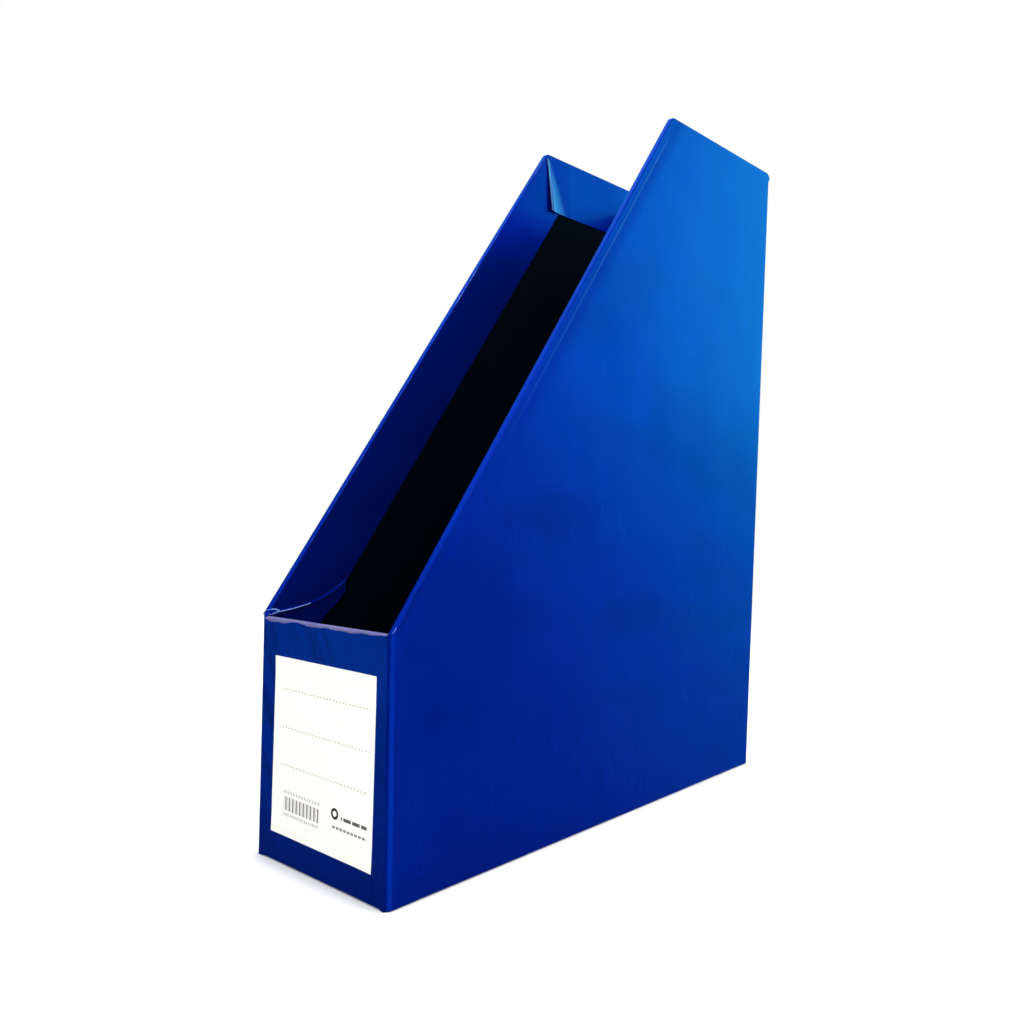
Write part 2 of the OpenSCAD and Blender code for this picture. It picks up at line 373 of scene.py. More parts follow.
def add_bevel(piece, name, width, segments, angle=None):
    """A Bevel modifier on the marked folds, or on all that are sharper than an angle."""
    fold = piece.modifiers.new(name, "BEVEL")
    fold.width, fold.segments, fold.use_clamp_overlap = width, segments, False
    fold.limit_method = "WEIGHT" if angle is None else "ANGLE"
    if angle is not None:
        fold.angle_limit = angle


def add_thickness(piece, thickness):
    """Gives a sheet its thickness inwards, with its cut edges in the second material."""
    sheet = piece.modifiers.new("sheet", "SOLIDIFY")
    sheet.thickness, sheet.offset, sheet.material_offset_rim = thickness, -1, 1


round_uprights(cover, lambda p, e: near(p.x, side_x) and (near(p.y, back_y) or near(p.y, front_y))
               and near(e.verts[0].co.y, e.verts[1].co.y) and p.z < top_z - corner_r)
mirror = cover.modifiers.new("both_sides", "MIRROR")
mirror.use_clip = True
mirror.merge_threshold = 0.00002
add_bevel(cover, "uprights", upright_r, 5)
add_bevel(cover, "edges", rim_r, 3, radians(40))
apply_all(cover)


# The flap's free end stands off the band and curls, more on the left.
def curl_flap(p):
    side, x = (1 if p.x > 0 else -1), abs(p.x)
    if not (turn_x - 0.0003 < x < turn_x - 0.000004 and p.z > top_z - flap_w - 0.0001
            and p.y < back_turn_y):
        return None
    down = (top_z - p.z) / flap_w
    edge_y = flap_end_y + flap_slope * down
    y = p.y + flap_slope * down * max(0.0, 1 - (p.y - edge_y + flap_slope * down) / 0.012)
    fan = max(0.0, 1 - (y - edge_y) / (0.0025 + 0.0115 * down))
    curl = (0.0015 if side < 0 else 0.0007) * down ** 1.1 * fan ** 2
    over_band = min(1.0, max(0.0, (0.066 - y) / 0.014)) * min(1.0, (top_z - p.z) / 0.002)
    return Vector((side * (turn_x - 0.00002 - 0.00028 * over_band - curl), y, p.z))


def splay(p):
    """The left side has spread outwards at its foot, most at the front."""
    if p.x > 0 or p.z > front_top_z:
        return None
    on_front = p.y < front_y + 0.0006 or p.z < foot_z + 0.0006
    share = (-p.x - 0.031) / 0.005 if on_front else (-p.x - turn_x) / (side_x - turn_x - 0.0004)
    away = max(0.0, min(1.0, (p.y - front_y) / 0.15))
    return Vector((p.x - splay_out * max(0.0, min(1.0, share)) * (1 - p.z / front_top_z)
                   * (1 - away) ** 2, p.y, p.z))


def smooth(piece, angle):
    """Shades the rounded folds smooth and keeps the flat panels flat up to them."""
    bpy.ops.object.shade_smooth_by_angle(angle=radians(angle))
    weighted = piece.modifiers.new("flat_panels", "WEIGHTED_NORMAL")
    weighted.keep_sharp, weighted.weight = True, 100
    bpy.ops.object.modifier_apply(modifier=weighted.name)


bpy.ops.object.mode_set(mode="EDIT")
shift(cover, curl_flap)
shift(cover, splay)
add_thickness(cover, cover_t)
apply_all(cover)


# Printed paper under gloss film: the print's blue is in the paper, and the
# film over it gives a blue-tinted sheen and a sharp clear gloss. The film
# ripples up the panel, where the wet paper was rubbed down.
def make_ripple_group():
    """Height of the ripples in the film: long ones up the sheet, lumps and fine grain."""
    tree, given, out = new_group(
        "film_ripples",
        [("Long", "NodeSocketFloat", 1.0), ("Lumps", "NodeSocketFloat", 1.0),
         ("Grain", "NodeSocketFloat", 1.0), ("Seed", "NodeSocketFloat", 0.0)],
        [("Height", "NodeSocketFloat"), ("Mottle", "NodeSocketFloat"), ("Haze", "NodeSocketFloat")])
    place = put(tree, "ShaderNodeTexCoord").outputs["Object"]
    total = drawn = None
    for label, stretch, scale, detail in (("Long", (1.0, 1.0, 0.16), 110.0, 4.0),
                                          ("Lumps", (1.0, 0.7, 1.0), 26.0, 1.0),
                                          ("Grain", (1.0, 1.0, 0.6), 900.0, 2.0)):
        spread = put(tree, "ShaderNodeMapping", Vector=place, Scale=stretch).outputs[0]
        noise = put(tree, "ShaderNodeTexNoise", {"noise_dimensions": "4D"}, Vector=spread,
                    W=given.outputs["Seed"], Scale=scale, Detail=detail, Roughness=0.5)
        if label == "Long":
            drawn = noise.outputs["Fac"]
        total = sum_up(tree, "MULTIPLY_ADD", noise.outputs["Fac"], given.outputs[label],
                       0.0 if total is None else total)
    tree.links.new(total, out.inputs["Height"])
    tree.links.new(drawn, out.inputs["Mottle"])
    spread = put(tree, "ShaderNodeMapping", Vector=place, Scale=(1.0, 0.5, 1.3)).outputs[0]
    haze = put(tree, "ShaderNodeTexNoise", {"noise_dimensions": "4D"}, Vector=spread,
               W=given.outputs["Seed"], Scale=17.0, Detail=3.0, Roughness=0.55)
    tree.links.new(put(tree, "ShaderNodeMapRange", {"interpolation_type": "SMOOTHSTEP"},
                       Value=haze.outputs["Fac"], From_Min=0.36, From_Max=0.56).outputs[0],
                   out.inputs["Haze"])
    return tree


ripple_group = make_ripple_group()


def make_glint_band_group():
    """The mask of a ragged band beside an edge, where the film is painted pale as a glint and made
    rougher and less metallic.
    """
    tree, given, out = new_group(
        "edge_glint_band",
        [("Distance", "NodeSocketFloat", 0.0), ("Width", "NodeSocketFloat", 0.001),
         ("Wander", "NodeSocketFloat", 0.001), ("Fringe", "NodeSocketFloat", 0.0003),
         ("Seed", "NodeSocketFloat", 0.0)],
        [("Mask", "NodeSocketFloat")])
    place = put(tree, "ShaderNodeTexCoord").outputs["Object"]
    border = given.outputs["Width"]
    for label, stretch, scale in (("Wander", (1, 1, 1), 42.0), ("Fringe", (1, 1, 0.25), 1100.0)):
        spread = put(tree, "ShaderNodeMapping", Vector=place, Scale=stretch).outputs[0]
        noise = put(tree, "ShaderNodeTexNoise", {"noise_dimensions": "4D"}, Vector=spread,
                    W=given.outputs["Seed"], Scale=scale, Detail=2.0, Roughness=0.6)
        swing = sum_up(tree, "MULTIPLY_ADD", noise.outputs["Fac"], 2.0, -1.0)
        border = sum_up(tree, "MULTIPLY_ADD", swing, given.outputs[label], border)
    short = sum_up(tree, "SUBTRACT", border, given.outputs["Distance"])
    mask = put(tree, "ShaderNodeMapRange", Value=short, From_Min=-0.00002, From_Max=0.00008)
    tree.links.new(mask.outputs[0], out.inputs["Mask"])
    return tree


glint_band_group = make_glint_band_group()


def film_material(name, deep, bright, seed, long, lumps, grain, glint_and_wear, glint_band, edge, shape,
                  marks=()):
    """Blue printed paper under gloss film. The edge rule gives the distance from the edge where the
    film is painted pale as a glint and made rougher and less metallic, the shape rule gives a
    height in metres for creases pressed into the sheet, and each mark is a rule for a mask and the
    colour painted there: painted highlights, and darker patches."""
    material, tree, shader = new_material(name)
    place = put(tree, "ShaderNodeTexCoord").outputs["Object"]
    ripple = put(tree, "ShaderNodeGroup", {"node_tree": ripple_group}, Long=long, Lumps=lumps,
                 Grain=grain, Seed=seed)
    mask = put(tree, "ShaderNodeGroup", {"node_tree": glint_band_group}, Distance=edge(tree, place),
               Width=glint_band[0], Wander=glint_band[1], Fringe=glint_band[2], Seed=seed).outputs[0]
    patch = put(tree, "ShaderNodeMapRange", Value=ripple.outputs["Mottle"], From_Min=0.3,
                From_Max=0.7).outputs[0]
    print_and_highlights = blend_colours(tree, patch, deep, bright)
    print_and_highlights = blend_colours(tree, ripple.outputs["Haze"], [v * 0.92 for v in deep[:3]] + [1], print_and_highlights)
    for rule, pale in marks:
        print_and_highlights = blend_colours(tree, rule(tree, place), print_and_highlights, pale)
    # The pale edge colours are a painted glint; the film there is also rougher and less metallic.
    glint_and_wear_mix = blend_colours(tree, ripple.outputs["Mottle"], glint_and_wear[0], glint_and_wear[1])
    tree.links.new(blend_colours(tree, mask, print_and_highlights, glint_and_wear_mix), shader.inputs["Base Color"])
    rough = put(tree, "ShaderNodeMapRange", Value=ripple.outputs["Mottle"],
                From_Min=0.3, From_Max=0.7, To_Min=0.25, To_Max=0.28).outputs[0]
    tree.links.new(sum_up(tree, "MULTIPLY_ADD", mask, 0.3, rough), shader.inputs["Roughness"])
    tree.links.new(sum_up(tree, "MULTIPLY_ADD", mask, -0.75, 0.8), shader.inputs["Metallic"])
    relief = put(tree, "ShaderNodeBump", Height=ripple.outputs["Height"], Strength=1.0,
                 Distance=0.0003)
    relief = put(tree, "ShaderNodeBump", Height=shape(tree, place), Strength=1.0,
                 Distance=1.0, Normal=relief.outputs[0])
    tree.links.new(relief.outputs[0], shader.inputs["Normal"])
    shader.inputs["Specular IOR Level"].default_value = 0.2
    shader.inputs["Coat Weight"].default_value = 0.2
    shader.inputs["Coat Roughness"].default_value = 0.06
    return material


def depth_nodes(tree, place):
    """How far a place is below the slanted edge and below the level top, in nodes."""
    slanted = put(tree, "ShaderNodeVectorMath", {"operation": "DOT_PRODUCT"}, i0=put(
        tree, "ShaderNodeVectorMath", {"operation": "SUBTRACT"}, i0=place,
        i1=(0, knee_y, top_z)).outputs[0], i1=into_band).outputs["Value"]
    axes = put(tree, "ShaderNodeSeparateXYZ", Vector=place)
    return (slanted, sum_up(tree, "SUBTRACT", top_z, axes.outputs["Z"]),
            sum_up(tree, "ABSOLUTE", axes.outputs["X"], 0.0), axes)


def inner_glint_edge(tree, place):
    """Distance from the fold inside the board's edge, where a glint on the rounded inner edge is
    painted as pale film.
    """
    slanted, level, across, _ = depth_nodes(tree, place)
    return sum_up(tree, "MAXIMUM", sum_up(tree, "MINIMUM", slanted, level),
                  sum_up(tree, "SUBTRACT", across, turn_x))


def side_creases(tree, place):
    """The side falls away towards its slanted edge."""
    slanted, _, across, _ = depth_nodes(tree, place)
    fall = put(tree, "ShaderNodeMapRange", {"interpolation_type": "SMOOTHERSTEP"}, Value=slanted,
               From_Min=-0.0010, From_Max=0.0110, To_Min=-0.00050, To_Max=0.0).outputs[0]
    return sum_up(tree, "MULTIPLY", fall, sum_up(tree, "GREATER_THAN", across, side_x - 0.0002))


def turn_in_highlight(tree, place):
    """Painted highlight: a thin pale line beside the slanted edge, over the fold of the board,
    strongest high up and fading down the side.
    """
    slanted, level, across, _ = depth_nodes(tree, place)
    off = sum_up(tree, "ABSOLUTE", sum_up(tree, "SUBTRACT", slanted, 0.0036))
    line = put(tree, "ShaderNodeMapRange", {"interpolation_type": "SMOOTHSTEP"}, Value=off,
               From_Min=0.0001, From_Max=0.0005, To_Min=0.20, To_Max=0.0).outputs[0]
    high = put(tree, "ShaderNodeMapRange", Value=level, From_Min=0.03, From_Max=0.17,
               To_Min=1.0, To_Max=0.0).outputs[0]
    begin = put(tree, "ShaderNodeMapRange", Value=level, From_Min=0.008, From_Max=0.016).outputs[0]
    outside = sum_up(tree, "GREATER_THAN", across, side_x - 0.0002)
    return sum_up(tree, "MULTIPLY", sum_up(tree, "MULTIPLY", outside, begin),
                  sum_up(tree, "MULTIPLY", line, high))


def low_dark_patches(tree, place):
    """Two darker, less green patches low on the sides."""
    axes = put(tree, "ShaderNodeSeparateXYZ", Vector=place)
    wander = put(tree, "ShaderNodeTexNoise", Vector=place, Scale=38.0, Detail=2.0).outputs["Fac"]
    total = None
    for y, z, long, high in ((-0.045, 0.137, 0.040, 0.014), (0.014, 0.091, 0.038, 0.013)):
        dy = sum_up(tree, "DIVIDE", sum_up(tree, "SUBTRACT", axes.outputs["Y"], y), long)
        dz = sum_up(tree, "DIVIDE", sum_up(tree, "SUBTRACT", axes.outputs["Z"], z), high)
        away = sum_up(tree, "MULTIPLY_ADD", dy, dy, sum_up(tree, "MULTIPLY", dz, dz))
        away = sum_up(tree, "MULTIPLY_ADD", wander, -1.6, sum_up(tree, "ADD", away, 0.8))
        patch = put(tree, "ShaderNodeMapRange", {"interpolation_type": "SMOOTHSTEP"}, Value=away,
                    From_Min=-0.1, From_Max=1.1, To_Min=0.55, To_Max=0.0).outputs[0]
        total = patch if total is None else sum_up(tree, "MAXIMUM", total, patch)
    return total


def flap_fan_highlight(tree, place):
    """Painted highlight: paler film that fans out from the knee over the flap's free end, with a
    pale lip along that end.
    """
    _, level, across, axes = depth_nodes(tree, place)
    down = sum_up(tree, "DIVIDE", level, flap_w)
    from_end = sum_up(tree, "SUBTRACT", sum_up(tree, "SUBTRACT", axes.outputs["Y"], flap_end_y),
                      sum_up(tree, "MULTIPLY", down, flap_slope))
    spread = sum_up(tree, "DIVIDE", from_end, sum_up(tree, "MULTIPLY_ADD", down, 0.0150, 0.0010))
    spokes = put(tree, "ShaderNodeTexNoise", {"noise_dimensions": "1D"}, W=spread, Scale=6.0,
                 Detail=2.0).outputs["Fac"]
    fan = put(tree, "ShaderNodeMapRange", Value=spread, From_Min=0.0, From_Max=1.0,
              To_Min=1.0, To_Max=0.0).outputs[0]
    fan = sum_up(tree, "MULTIPLY", sum_up(tree, "MULTIPLY", fan, 0.9), spokes)
    lip = put(tree, "ShaderNodeMapRange", Value=from_end, From_Min=0.0004, From_Max=0.0009,
              To_Min=0.95, To_Max=0.0).outputs[0]
    on_flap = sum_up(tree, "MULTIPLY", sum_up(tree, "LESS_THAN", across, turn_x - 0.00020),
                     sum_up(tree, "LESS_THAN", level, flap_w + 0.0002))
    return sum_up(tree, "MULTIPLY", sum_up(tree, "MAXIMUM", fan, lip), on_flap)


# Pale colours along the inner fold: a painted glint of the rounded inner edge, where the film is
# also made rougher and less metallic.
inner_glint_colours = ((0.30, 0.36, 0.56, 1), (0.62, 0.68, 0.84, 1))
# Its marks: darker patches low on the sides, a painted highlight on the turn-in ridge, and a
# painted highlight fanning over the flap.
gloss_cover = film_material("gloss_cover", (0.0002, 0.030, 0.550, 1), (0.0003, 0.034, 0.605, 1),
                            0.0, 0.08, 2.4, 0.03, inner_glint_colours, (0.00015, 0.00022, 0.00005),
                            inner_glint_edge, side_creases,
                            ((low_dark_patches, (0.0003, 0.014, 0.40, 1)),
                             (turn_in_highlight, (0.25, 0.45, 0.80, 1)),
                             (flap_fan_highlight, (0.42, 0.46, 0.92, 1))))
paper_core = pulp_material("paper_core", (0.42, 0.47, 0.62, 1), (0.72, 0.76, 0.86, 1),
                           1500.0, 7.0, 0.8, 0.2)
cover.data.materials.append(gloss_cover)
cover.data.materials.append(paper_core)
for face in cover.data.polygons:                       # the toes' cut ends are under the film
    if face.center.y < -0.125 and face.center.z > 0.09:
        face.material_index = 0
smooth(cover, 40)
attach(cover, "root")
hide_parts("body_wrap")


# ---------------------------------------------------------------------------
# 5. Front sheet and base sheet: the front sheet covers the cut ends of the
#    cover, rolls over the top of the front panel and is glued down inside.

sheet_low, sheet_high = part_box("front_sheet")
sheet_in_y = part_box("front_lining")[1].y + cover_t
bpy.ops.object.select_all(action="DESELECT")
bpy.ops.mesh.primitive_plane_add(size=1, rotation=(pi / 2, 0, 0), location=(
    0, sheet_low.y, (sheet_low.z + front_top_z) / 2))
bpy.context.object.scale = (sheet_high.x - sheet_low.x, front_top_z - sheet_low.z, 1)
front_sheet = begin_piece("front_sheet_roll")
cut(front_sheet, 0, [sheet_low.x + 0.003 * i for i in range(1, 25)])
cut(front_sheet, 2, [0.006 * i for i in range(1, 15)] + [0.0935])
pick(front_sheet, "edges", lambda p, e: e.is_boundary and near(p.z, front_top_z))
pull((0, sheet_in_y - sheet_low.y, 0), (0, 0, -0.001), (0, 0, -0.009), (0, 0, -0.010))
pick(front_sheet, "edges", lambda p, e: e.is_boundary and near(p.z, sheet_low.z))
pull((0, base_turn, 0))
roll_x = turn_x - 0.00015


def inside_the_sides(p):
    """Draws the rolled top in, so that it passes between the two sides."""
    if p.z > front_top_z - 0.0001 or p.y > front_y + 0.001 and p.z > 0.01:
        return Vector((max(-roll_x, min(roll_x, p.x)), p.y, p.z))


shift(front_sheet, inside_the_sides)
for fold_z, fold_r, rounds in ((front_top_z, 0.0009, 4), (sheet_low.z, rim_r, 3)):
    pick(front_sheet, "edges", lambda p, e: not e.is_boundary and near(p.z, fold_z)
         and near(e.verts[0].co.z, e.verts[1].co.z) and near(e.verts[0].co.y, e.verts[1].co.y))
    bpy.ops.mesh.bevel(offset=fold_r, segments=rounds, affect="EDGES", clamp_overlap=False)


def rack(p):
    """The front has racked: its right end stands a little higher."""
    return Vector((p.x, p.y, p.z + rack_up * (p.x / front_w + 0.5) * max(0.0, p.z / front_top_z)))


shift(front_sheet, rack)
shift(front_sheet, splay)
add_thickness(front_sheet, cover_t)
apply_all(front_sheet)
# Pale lilac along the front's top edge: painted glare over the rolled edge, on rougher, less
# metallic film; also the pale cut sides.
front_glare_colours = ((0.075, 0.070, 0.22, 1), (0.21, 0.19, 0.40, 1))


def glare_and_cut_edges(tree, place):
    """Distance down from the top of the front, where glare over the rolled edge is painted, and,
    closer, from the sheet's cut sides, which show pale cut paper.
    """
    axes = put(tree, "ShaderNodeSeparateXYZ", Vector=place)
    level = sum_up(tree, "MULTIPLY_ADD", axes.outputs["X"], rack_up / front_w,
                   front_top_z + rack_up / 2)
    right = sum_up(tree, "SUBTRACT", sheet_high.x, axes.outputs["X"])
    left = sum_up(tree, "ADD", axes.outputs["X"], sum_up(
        tree, "MULTIPLY_ADD", axes.outputs["Z"], -splay_out / front_top_z,
        sheet_high.x + splay_out))
    side = sum_up(tree, "MULTIPLY_ADD", sum_up(tree, "MINIMUM", left, right), 7.0, 0.0018)
    return sum_up(tree, "MINIMUM", sum_up(tree, "SUBTRACT", level, axes.outputs["Z"]), side)


def front_streaks(tree, place):
    """Slanting wrinkles in the film, from rubbing the sheet down by hand."""
    turned = put(tree, "ShaderNodeMapping", Vector=place, Rotation=(0, radians(27), 0)).outputs[0]
    turned = put(tree, "ShaderNodeMapping", Vector=turned, Scale=(1, 1, 0.2)).outputs[0]
    noise = put(tree, "ShaderNodeTexNoise", Vector=turned, Scale=150.0, Detail=2.0).outputs["Fac"]
    return sum_up(tree, "MULTIPLY", noise, 0.00080)


front_film = film_material("front_film", (0.0003, 0.037, 0.49, 1), (0.0006, 0.043, 0.54, 1),
                           4.0, 0.08, 2.6, 0.03, front_glare_colours, (0.0009, 0.0026, 0.0005),
                           glare_and_cut_edges, front_streaks)
front_sheet.data.materials.append(front_film)
front_sheet.data.materials.append(paper_core)
smooth(front_sheet, 40)
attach(front_sheet, "root")
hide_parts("front_sheet")
finish_node("base_sheet", gloss_cover)


# ---------------------------------------------------------------------------
# 6. Toes: where the cover is cut at the low end of the slant, its spare film
#    and paper are tucked inside as a gusset, and a little film curls up free.

def lay_sheet(name, columns, rows, rule, thickness, slots):
    """A small sheet: a grid laid where the rule puts each share along and across it."""
    bpy.ops.object.select_all(action="DESELECT")
    bpy.ops.mesh.primitive_grid_add(x_subdivisions=columns, y_subdivisions=rows, size=1)
    piece = begin_piece(name)
    shift(piece, lambda p: rule(p.x + 0.5, p.y + 0.5))
    add_thickness(piece, thickness)
    apply_all(piece)
    for material in slots:
        piece.data.materials.append(material)
    bpy.ops.object.shade_smooth_by_angle(angle=radians(50))
    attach(piece, "root")
    return piece


def through(points, share):
    """A place along a smooth line through the points, share 0 to 1."""
    at = min(share * (len(points) - 1), len(points) - 1.000001)
    n, t = int(at), at - int(at)
    a, b, c, d = (Vector(points[max(0, min(len(points) - 1, n + k))]) for k in (-1, 0, 1, 2))
    return 0.5 * (2 * b + (c - a) * t + (2 * a - 5 * b + 4 * c - d) * t ** 2
                  + (3 * b - a - 3 * c + d) * t ** 3)


gusset_y, gusset_run = -0.1273, 0.0361                 # where the gusset starts; its length


def gusset_fold_z(along):
    """Height of the gusset's fold, which rises from the toe."""
    return 0.0962 + 0.0032 * along + 0.0079 * along ** 3


def gusset_rule(side, stand):
    """The tucked gusset: its fold rises from the toe and dies away along the band."""
    def rule(along, down):
        y = gusset_y + gusset_run * along
        z = gusset_fold_z(along) - (1 - down) ** 2 * (0.016 - 0.011 * along)
        proud = 0.00034 + stand * (1 - along) ** 0.7 * down ** 3
        return Vector((side * (turn_x - proud), y, z))
    return rule


def curl_rule(points, width, sweep):
    """A ribbon of film along the points, as wide as width, spread along sweep."""
    lean = Vector(sweep).normalized()
    return lambda along, across: through(points, along) + lean * width * (across - 0.5) * (
        0.35 + 0.65 * sin(pi * min(1, 0.12 + 0.88 * along)))


# Pale film for the curls and the left gusset's fold and cut edge: partly pale cut paper, partly a
# painted highlight of the bright creases and curls.
lip_highlight = pulp_material("lip_highlight", (0.02, 0.08, 0.40, 1), (0.28, 0.42, 0.78, 1),
                         420.0, 13.0, 0.35, 0.1)
for side, name, stand, rim in ((-1, "left", 0.0010, lip_highlight), (1, "right", 0.0002, gloss_cover)):
    gusset = lay_sheet("toe_gusset_" + name, 26, 9, gusset_rule(side, stand), -side * 0.00030,
                       (gloss_cover, rim))
    # The left gusset's fold takes the pale lip film, a painted highlight along the crease.
    for face in gusset.data.polygons:
        along = (face.center.y - gusset_y) / gusset_run
        if side < 0 and along < 0.5 and face.center.z > gusset_fold_z(along) - 0.0003:
            face.material_index = 1
    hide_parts("body_wrap")

left_curl = [(-0.0374, -0.1294, 0.0954), (-0.0372, -0.1292, 0.0966), (-0.0361, -0.1281, 0.0975),
             (-0.0340, -0.1263, 0.0977), (-0.0327, -0.1255, 0.0972), (-0.0328, -0.1260, 0.0965),
             (-0.0340, -0.1272, 0.0958), (-0.0356, -0.1285, 0.0955)]
# The right curl: a small pale sheet at the rim's corner, standing for a painted highlight.
right_curl = [(0.0377, -0.1291, 0.0966), (0.0381, -0.1287, 0.0974), (0.0381, -0.1281, 0.0980),
              (0.0378, -0.1276, 0.0985)]
for points, name, width in ((left_curl, "left", 0.0010), (right_curl, "right", 0.0006)):
    curl = lay_sheet("toe_curl_" + name, 36, 5, curl_rule(points, width, (-0.55, 0.8, 0.1)),
                     0.00014, (lip_highlight, lip_highlight))
    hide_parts("body_wrap")


# ---------------------------------------------------------------------------
# 7. Label: a piece of uncoated warm white paper, printed and stuck on by hand
#    with a slight lean. Its print is three dotted lines and plain marks.

label_low, label_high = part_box("front_label")
label_w, label_h, label_t = 0.060, 0.069, 0.0001
label_x, label_z = 0.0002, (label_low.z + label_high.z) / 2
bpy.ops.object.select_all(action="DESELECT")
bpy.ops.mesh.primitive_plane_add(size=1, rotation=(pi / 2, 0, 0), location=(0, 0, 0))
bpy.context.object.scale = (label_w, label_h, 1)
label = begin_piece("front_label_paper")
cut(label, 0, [label_w * (i / 16 - 0.5) for i in range(1, 16)])
cut(label, 2, [label_h * (i / 18 - 0.5) for i in range(1, 18)])


def stick_on(p):
    """Leans the label and lets its corners lift a little."""
    u, v = p.x / label_w * 2, p.z / label_h * 2
    corner = max(0.0, abs(u * v) - 0.72) / 0.28
    lift = (0.00022 if u * v < 0 else 0.00010) * corner ** 1.5
    high_left = (1 - u) * (1 + v) / 4
    return rack(Vector((label_x + p.x + p.z * sin(radians(1.4)) + 0.0011 * high_left,
                        label_low.y - lift, label_z + p.z - p.x * sin(radians(0.4)))))


shift(label, stick_on)
add_thickness(label, label_t)
apply_all(label)

label_paper, tree, shader = new_material("label_paper")
fibres = put(tree, "ShaderNodeGroup", {"node_tree": fibre_group}, Dark=(0.87, 0.86, 0.78, 1),
             Light=(0.95, 0.94, 0.89, 1), Fleck_Size=800.0, Seed=9.0)
print_at = put(tree, "ShaderNodeSeparateXYZ", Vector=put(tree, "ShaderNodeTexCoord").outputs["UV"])
mm_across = sum_up(tree, "MULTIPLY", print_at.outputs["X"], label_w * 1000)
mm_up = sum_up(tree, "MULTIPLY", print_at.outputs["Y"], label_h * 1000)


def within(value, low, high):
    """1 where a value is between two others."""
    return sum_up(tree, "COMPARE", value, (low + high) / 2, (high - low) / 2)


def every(value, pitch, share):
    """1 in the first share of each pitch."""
    place = sum_up(tree, "FRACT", sum_up(tree, "DIVIDE", value, pitch))
    return sum_up(tree, "LESS_THAN", place, share)


def both_of(a, b):
    return sum_up(tree, "MULTIPLY", a, b)


def block(x0, x1, z0, z1):
    """1 inside a rectangle of the label, in millimetres from its lower left corner."""
    return both_of(within(mm_across, x0, x1), within(mm_up, z0, z1))


def darken(colour, mask, print_and_highlights, strength=1.0):
    """Prints ink over the colour where the mask is 1."""
    return blend_colours(tree, sum_up(tree, "MULTIPLY", mask, strength), colour, print_and_highlights)


pale_ink, grey_ink, black_ink = (0.17, 0.15, 0.06, 1), (0.06, 0.05, 0.04, 1), (0.01, 0.01, 0.01, 1)
paper = fibres.outputs["Color"]
for line_up in (57.0, 42.2, 27.6):                       # three dotted writing lines
    dots = both_of(block(5.4, 57.4, line_up - 0.24, line_up + 0.24), every(mm_across, 1.9, 0.36))
    paper = darken(paper, dots, pale_ink, 0.9)
caption = both_of(block(7.3, 30.4, 16.7, 17.9), every(mm_across, 1.7, 0.62))
paper = darken(paper, caption, pale_ink, 0.45)
bars = both_of(block(7.5, 29.5, 10.2, 15.6), every(mm_across, 2.2, 0.40))
thin_bars = both_of(block(7.5, 29.5, 10.2, 15.6),
                    every(sum_up(tree, "ADD", mm_across, 0.9), 2.2, 0.12))
paper = darken(darken(paper, bars, grey_ink, 0.85), thin_bars, grey_ink, 0.6)
ticks = both_of(block(7.0, 29.8, 8.0, 9.2), every(mm_across, 1.3, 0.5))
paper = darken(paper, ticks, grey_ink, 0.55)
dx = sum_up(tree, "SUBTRACT", mm_across, 39.0)
dz = sum_up(tree, "SUBTRACT", mm_up, 16.2)
radius = sum_up(tree, "SQRT", sum_up(tree, "ADD", both_of(dx, dx), both_of(dz, dz)))
paper = darken(paper, within(radius, 1.1, 2.1), black_ink)
long_dashes = both_of(block(42.6, 57.0, 14.6, 15.9), every(mm_across, 4.9, 0.86))
short_dashes = both_of(block(37.4, 57.0, 10.8, 11.7), every(mm_across, 2.1, 0.72))
paper = darken(darken(paper, long_dashes, black_ink, 0.9), short_dashes, black_ink, 0.8)
tree.links.new(paper, shader.inputs["Base Color"])
relief = put(tree, "ShaderNodeBump", Height=fibres.outputs["Height"], Strength=0.15,
             Distance=0.0001)
tree.links.new(relief.outputs[0], shader.inputs["Normal"])
shader.inputs["Roughness"].default_value = 0.6
shader.inputs["Specular IOR Level"].default_value = 0.3
label_core = pulp_material("label_core", (0.62, 0.60, 0.54, 1), (0.80, 0.78, 0.70, 1),
                           1200.0, 11.0, 0.8, 0.1)
label.data.materials.append(label_paper)
label.data.materials.append(label_core)
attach(label, "root")
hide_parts("front_label")


# ---------------------------------------------------------------------------
# 8. Studio: a plain white floor with a painted contact shadow, soft lamps and the camera.

bpy.ops.object.select_all(action="DESELECT")
bpy.ops.mesh.primitive_plane_add(size=30, location=(0, 0, 0))
floor = bpy.context.object
floor.name = "studio_floor"
floor_paint, tree, shader = new_material("studio_floor")
# Painted contact shadow: the floor turns grey where ambient occlusion finds the box close by.
painted_contact_shadow = put(tree, "ShaderNodeAmbientOcclusion", {"samples": 8}, Distance=0.008).outputs["AO"]
painted_contact_shadow = put(tree, "ShaderNodeMapRange", Value=painted_contact_shadow, From_Min=0.45, From_Max=0.95).outputs[0]
tree.links.new(blend_colours(tree, painted_contact_shadow, (0.70, 0.70, 0.70, 1), (0.9, 0.9, 0.9, 1)),
               shader.inputs["Base Color"])
shader.inputs["Roughness"].default_value = 1.0
white_out = put(tree, "ShaderNodeEmission", Color=(1, 1, 1, 1), Strength=1.0)
far = put(tree, "ShaderNodeVectorMath", {"operation": "LENGTH"},
          i0=put(tree, "ShaderNodeTexCoord").outputs["Object"]).outputs["Value"]
far = put(tree, "ShaderNodeMapRange", Value=far, From_Min=0.35, From_Max=0.7).outputs[0]
fade = put(tree, "ShaderNodeMixShader", i0=far, i1=shader.outputs[0], i2=white_out.outputs[0])
tree.links.new(fade.outputs[0], tree.nodes["Material Output"].inputs["Surface"])
floor.data.materials.append(floor_paint)
floor.visible_glossy = False


